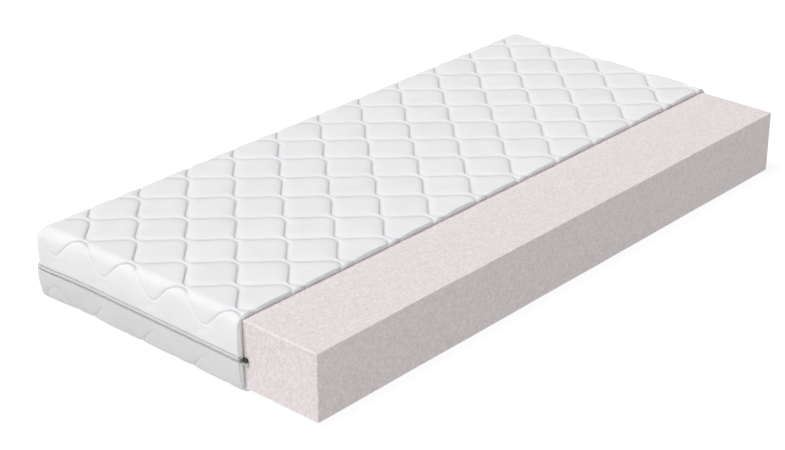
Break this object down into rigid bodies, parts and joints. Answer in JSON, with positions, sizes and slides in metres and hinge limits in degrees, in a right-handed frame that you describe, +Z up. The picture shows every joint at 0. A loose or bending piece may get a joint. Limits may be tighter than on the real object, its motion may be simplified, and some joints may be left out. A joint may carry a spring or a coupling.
{
  "type": "memory foam mattress",
  "caption": "Foam block mattress in a zip-off quilted cover with piped edge, cut away along one side to show the bare foam.",
  "frame": {"origin": "centre of the underside of the whole sample's box, on the surface it lies on", "axes": "+X along the length, away from the end where the zip's slider is parked; +Y across, from the bare foam side to the covered back; +Z up, towards the sleeping surface"},
  "size_m": [2.0232, 1.0216, 0.218],
  "materials": {
    "foam": "cut open-cell viscoelastic foam, matt, faintly pink off-white",
    "ticking": "white fine-ribbed knit, soft sheen, quilted",
    "thread": "pale grey spun polyester sewing thread",
    "wadding": "white polyester fibre wadding, loose and matt",
    "backing": "thin grey-white non-woven sheet",
    "zip_tape": "woven polyester tape, off-white",
    "zip_coil": "nylon coil, off-white, slight shine",
    "zip_metal": "dark gunmetal die-cast, satin",
    "piping": "ivory woven tape, plain weave",
    "filler_cord": "soft white spun filler cord"
  },
  "bodies": {
    "lower_cover": {"lower_ticking": "ticking", "lower_quilting_thread": "thread", "lower_wadding": "wadding", "lower_backing": "backing", "lower_hem_thread": "thread", "lower_zip_tape": "zip_tape", "lower_zip_coil": "zip_coil", "zip_end_stop": "zip_metal"},
    "foam": {"foam_core": "foam"},
    "upper_cover": {"upper_ticking": "ticking", "upper_quilting_thread": "thread", "upper_wadding": "wadding", "upper_backing": "backing", "upper_hem_thread": "thread", "upper_zip_tape": "zip_tape", "upper_zip_coil": "zip_coil", "piping_wrap": "piping", "piping_cord": "filler_cord"},
    "slider": {"zip_slider": "zip_metal"},
    "pull": {"zip_pull_tab": "zip_metal"}
  },
  "joints": [
    {"name": "foam_lift", "type": "slide", "parent": "lower_cover", "child": "foam", "axis": [0, 0, 1], "range_m": [0, 0.15]},
    {"name": "upper_cover_lift", "type": "slide", "parent": "foam", "child": "upper_cover", "axis": [0, 0, 1], "range_m": [0, 0.15]},
    {"name": "zip_run", "type": "slide", "parent": "lower_cover", "child": "slider", "axis": [0, 1, 0], "range_m": [0, 0.7]},
    {"name": "pull_swing", "type": "hinge", "parent": "slider", "child": "pull", "pos_m": [-0.9977, -0.2734, 0.096], "axis": [0, 0, 1], "range_deg": [0, 180]}
  ]
}
